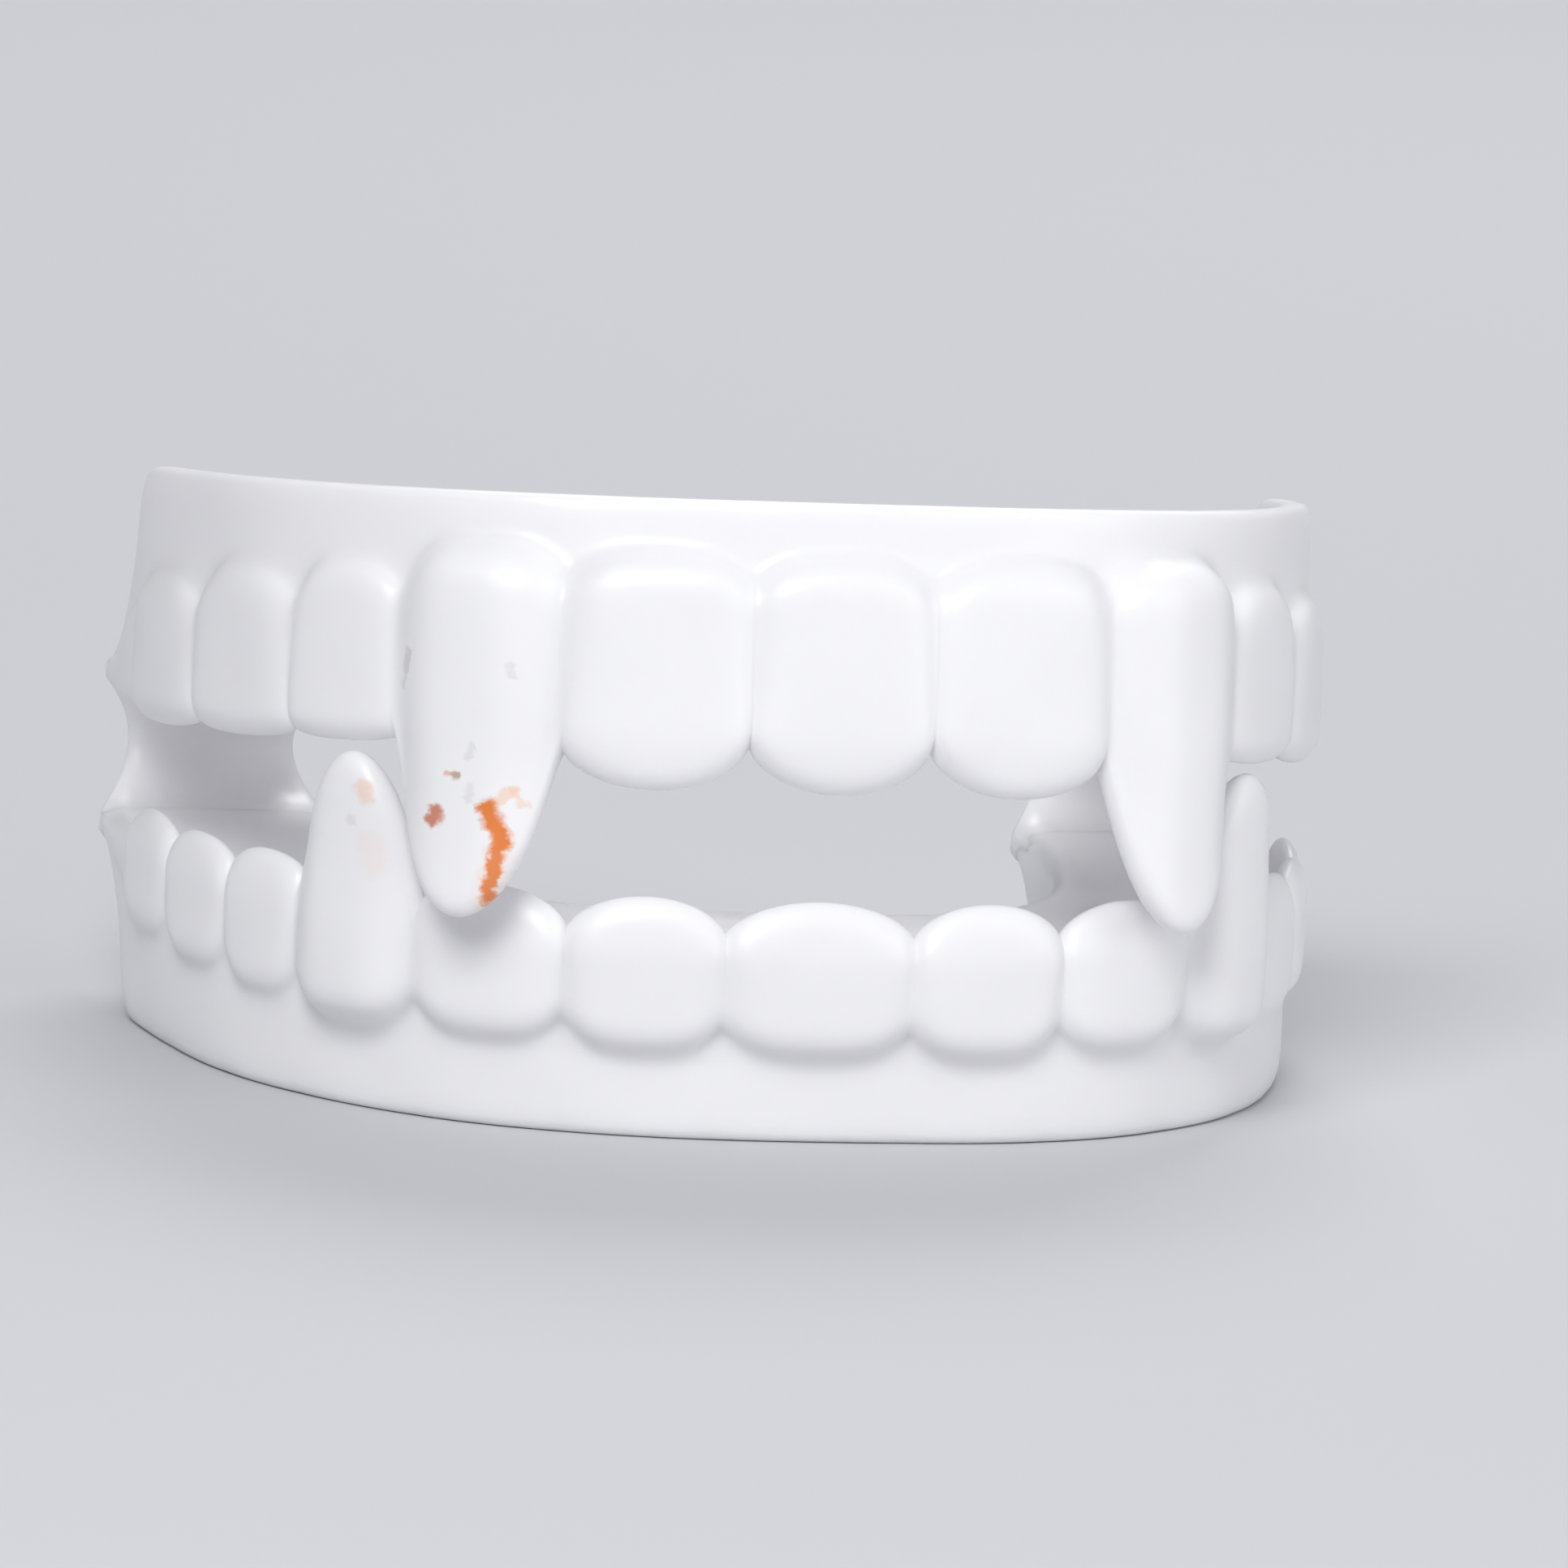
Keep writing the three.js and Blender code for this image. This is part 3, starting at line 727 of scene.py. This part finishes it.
# millimetres: along the arch and above the shelf at start and end, and half width; then strength
upper_marks = [
    dict(tint=GREY, start=(-20.1, 1.7), end=(-19.9, 2.4), half=0.35, strength=0.4),
    dict(tint=GREY, start=(-20.3, 0.9), end=(-20.1, 1.3), half=0.25, strength=0.25),
    dict(tint=GREY, start=(-14.9, 2.1), end=(-14.7, 1.6), half=0.3, strength=0.2),
    dict(tint=GREY, start=(-16.4, -1.7), end=(-16.5, -2.2), half=0.3, strength=0.22),
    dict(tint=GREY, start=(-16.4, -3.6), end=(-16.5, -4.1), half=0.3, strength=0.2),
    dict(tint=PEACH, start=(-15.0, -6.0), end=(-15.5, -8.8), half=0.85, strength=0.3),
    dict(tint=PEACH, start=(-15.5, -4.4), end=(-14.6, -3.7), half=0.3, strength=0.55),
    dict(tint=PEACH, start=(-14.6, -3.7), end=(-14.2, -4.3), half=0.28, strength=0.45),
    dict(tint=BROWN, start=(-17.15, -3.05), end=(-17.2, -3.15), half=0.3, strength=0.7),
    dict(tint=ORANGE, start=(-17.5, -3.0), end=(-17.5, -3.1), half=0.25, strength=0.5),
    dict(tint=ORANGE, start=(-15.7, -4.5), end=(-14.9, -6.2), half=0.6, strength=1.0),
    dict(tint=ORANGE, start=(-15.1, -6.4), end=(-15.5, -8.7), half=0.42, strength=0.95),
    dict(tint=RUST, start=(-18.0, -4.9), end=(-18.1, -5.1), half=0.55, strength=0.85),
]
lower_marks = [
    dict(tint=PEACH, start=(-21.3, -7.4), end=(-21.1, -7.0), half=0.6, strength=0.5),
    dict(tint=PEACH, start=(-20.8, -4.9), end=(-20.6, -3.9), half=0.9, strength=0.15),
    dict(tint=GREY, start=(-21.8, -5.9), end=(-21.7, -5.7), half=0.3, strength=0.2),
]
print("marks above and below:", len(upper_marks), len(lower_marks))

# %% [markdown]
# A stroke needs to know how far a point of the surface is from it. The nearest point of a line is
# a dot product, so a handful of vector nodes do the work, and a smooth step turns the distance
# into paint.

# %% One stroke
SOLID_CORE = 0.3  # of the half width, inside which the paint is at full strength


def stroke(tree, place, mark):
    """Strength x a smooth step down to the half width, of the distance to the stroke. The nearest point of
    the stroke is start + t (end - start), with t the share of the place along it, between 0 and 1."""
    (x0, z0), (x1, z1) = mark["start"], mark["end"]
    way = Vector((x1 - x0, 0, z1 - z0)) * MM
    offset = new_node(tree, "ShaderNodeVectorMath", operation="SUBTRACT")
    offset.inputs[1].default_value = Vector((x0, 0, z0)) * MM
    tree.links.new(place, offset.inputs[0])
    dot = new_node(tree, "ShaderNodeVectorMath", operation="DOT_PRODUCT")
    dot.inputs[1].default_value = way / way.length_squared
    tree.links.new(offset.outputs["Vector"], dot.inputs[0])
    held = new_node(tree, "ShaderNodeClamp")
    tree.links.new(dot.outputs["Value"], held.inputs["Value"])
    nearest = new_node(tree, "ShaderNodeVectorMath", operation="SCALE")
    nearest.inputs[0].default_value = way
    tree.links.new(held.outputs["Result"], nearest.inputs["Scale"])
    distance = new_node(tree, "ShaderNodeVectorMath", operation="DISTANCE")
    tree.links.new(offset.outputs["Vector"], distance.inputs[0])
    tree.links.new(nearest.outputs["Vector"], distance.inputs[1])
    fade = new_node(tree, "ShaderNodeMapRange", interpolation_type="SMOOTHSTEP")
    half = mark["half"] * MM
    for socket, value in zip(RANGE_SOCKETS, (SOLID_CORE * half, half, mark["strength"], 0.0)):
        fade.inputs[socket].default_value = value
    tree.links.new(distance.outputs["Value"], fade.inputs["Value"])
    return fade.outputs["Result"]


print("paint is solid over", SOLID_CORE, "of a stroke's half width")

# %% [markdown]
# The place of a point on its tooth is kept on the mesh, as an attribute that the grid knew
# anyway. Object coordinates would do for a flat plate, but here they would smear a mark where the
# face turns away.

# %% Vinyl with marks
RAGGED = 0.5 * MM  # how far noise pushes a mark's edge
BELOW, OVER, MIXED = 6, 7, 2  # colour sockets of a Mix node: two going in, one coming out


def ragged_place(tree, grid_place):
    """The place without its middle value, plus a push of noise x 2 RAGGED - RAGGED each way."""
    flat = new_node(tree, "ShaderNodeVectorMath", operation="MULTIPLY")
    flat.inputs[1].default_value = (1, 0, 1)
    tree.links.new(grid_place, flat.inputs[0])
    ragged = new_node(tree, "ShaderNodeTexNoise", Scale=1500.0, Detail=3.0, Roughness=0.65)
    tree.links.new(flat.outputs["Vector"], ragged.inputs["Vector"])
    push = new_node(tree, "ShaderNodeVectorMath", operation="MULTIPLY_ADD")
    push.inputs[1].default_value = (2 * RAGGED, 0, 2 * RAGGED)
    tree.links.new(ragged.outputs["Color"], push.inputs[0])
    tree.links.new(flat.outputs["Vector"], push.inputs[2])
    centred = new_node(tree, "ShaderNodeVectorMath", operation="SUBTRACT")
    centred.inputs[1].default_value = (RAGGED, 0, RAGGED)
    tree.links.new(push.outputs["Vector"], centred.inputs[0])
    return centred.outputs["Vector"]


def outer_face(tree, grid_place):
    """1 where the middle value of the place says that this is the outer face."""
    parts = new_node(tree, "ShaderNodeSeparateXYZ")
    tree.links.new(grid_place, parts.inputs["Vector"])
    outside = new_node(tree, "ShaderNodeMath", operation="GREATER_THAN")
    outside.inputs[1].default_value = 0.5
    tree.links.new(parts.outputs["Y"], outside.inputs[0])
    return outside.outputs["Value"]


def marked_vinyl(name, marks):
    """White vinyl; each mark mixes its tint over what lies under it, on the outer face only."""
    material, tree, shader = vinyl(name)
    grid_place = new_node(tree, "ShaderNodeAttribute", attribute_name="place").outputs["Vector"]
    place, outside = ragged_place(tree, grid_place), outer_face(tree, grid_place)
    below = None
    for mark in marks:
        amount = new_node(tree, "ShaderNodeMath", operation="MULTIPLY")
        tree.links.new(stroke(tree, place, mark), amount.inputs[0])
        tree.links.new(outside, amount.inputs[1])
        mix = new_node(tree, "ShaderNodeMix", data_type="RGBA")
        mix.inputs[BELOW].default_value = WHITE
        mix.inputs[OVER].default_value = mark["tint"]
        if below:
            tree.links.new(below, mix.inputs[BELOW])
        tree.links.new(amount.outputs["Value"], mix.inputs["Factor"])
        below = mix.outputs[MIXED]
    tree.links.new(below, shader.inputs["Base Color"])
    print(name, "with", len(marks), "marks")
    return material


upper_vinyl = marked_vinyl("white_vinyl_upper", upper_marks)
lower_vinyl = marked_vinyl("white_vinyl_lower", lower_marks)

# %% [markdown]
# Each tray takes the place of its solid and moves with it. A band joins two pieces that move against each
# other; here it is left fixed in place, its shape bent about the fold from the lower tray to the opened upper
# one. Cutting it in two there would show a gap, where the real one is whole.

# %% Ride, replace and paint
for piece, body in ((lower_piece, "lower_jaw"), (upper_piece, "upper_jaw")):
    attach(piece, body)
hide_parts("lower_arch")
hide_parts("upper_arch")
for piece in (right_band, left_band):
    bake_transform(piece)
trays = ((lower_piece, lower_vinyl), (upper_piece, upper_vinyl))
bands = ((right_band, clean_vinyl), (left_band, clean_vinyl))
for piece, finish in trays + bands:
    piece.data.materials.append(finish)
print("dressed:", [piece.name for piece, finish in trays + bands])

# %% [markdown]
# The stage is a pale sheet that curves up at its edge all the way round, like a very wide dish.
# A flat floor would show a hard line where it ends; this one has no line from any side.

# %% Stage
FLOOR_RADIUS = 1.5
CURVE_RADIUS = 0.6
WALL_TOP = 1.4
RIM = 0.02
HUB = 0.01
CURVE_STEPS = 24
DISH_SIDES = 96
PAPER = (0.6, 0.605, 0.625, 1)


def dish_points():
    """Profile = flat floor, quarter circle, upright wall, thin rim and underside, turned about the middle."""
    turn = np.linspace(0, np.pi / 2, CURVE_STEPS)
    edge = FLOOR_RADIUS + CURVE_RADIUS
    curve = FLOOR_RADIUS + CURVE_RADIUS * np.sin(turn)
    radius = np.concatenate([[HUB], curve, [edge, edge + RIM, edge + RIM, HUB]])
    height = np.concatenate([[0], CURVE_RADIUS * (1 - np.cos(turn)), [WALL_TOP, WALL_TOP, -RIM, -RIM]])
    around = 2 * np.pi * np.arange(DISH_SIDES) / DISH_SIDES
    x, y = radius[:, None] * np.cos(around), radius[:, None] * np.sin(around)
    return np.stack([x, y, np.broadcast_to(height[:, None], x.shape)], -1)


dish = ring_mesh("backdrop", dish_points())
paper = bpy.data.materials.new("pale_paper")
paper.use_nodes = True
paper_shader = paper.node_tree.nodes["Principled BSDF"]
paper_shader.inputs["Base Color"].default_value = PAPER
paper_shader.inputs["Roughness"].default_value = 0.9
dish.data.materials.append(paper)
dish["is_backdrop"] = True

# %% [markdown]
# The photograph is lit flat and bright from the front, with a large light a little above. White
# on white needs some fall-off, so the fill is weaker than the key and the sides go a soft grey.

# %% Lights
LIGHT_AIM = Vector((0, 0, 0.015))
lights = (
    dict(name="key", place=(-0.25, -0.55, 0.5), size=0.35, power=3.4),
    dict(name="fill", place=(0.5, -0.45, 0.25), size=0.5, power=1.3),
    dict(name="back", place=(0.15, 0.45, 0.5), size=0.35, power=1.8),
)
SKY = (0.94, 0.95, 1.0, 1)
SKY_STRENGTH = 0.45


def soft_light(name, place, size, power):
    """A square area light at a place, turned to aim at the denture."""
    data = bpy.data.lights.new(name, "AREA")
    data.size = size
    data.energy = power
    lamp = bpy.data.objects.new(name, data)
    lamp.location = place
    lamp.rotation_mode = "QUATERNION"
    lamp.rotation_quaternion = (LIGHT_AIM - Vector(place)).to_track_quat("-Z", "Y")
    bpy.context.scene.collection.objects.link(lamp)


for light in lights:
    soft_light(**light)
world = bpy.data.worlds.new("studio")
world.use_nodes = True
world.node_tree.nodes["Background"].inputs["Color"].default_value = SKY
world.node_tree.nodes["Background"].inputs["Strength"].default_value = SKY_STRENGTH
bpy.context.scene.world = world
bpy.context.scene.view_settings.view_transform = "Standard"
print("lights:", [light["name"] for light in lights])

# %% [markdown]
# The dressed denture should stay in the box of its solids. Both boxes are worked out, and how far the dressed
# one grows past the solids' box is printed in millimetres.

# %% Sizes
visual_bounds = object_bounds()
growth = [[round((v - c) / MM, 2) for c, v in zip(a, b)] for a, b in zip(cad_bounds, visual_bounds)]
print("grows by mm:", growth)
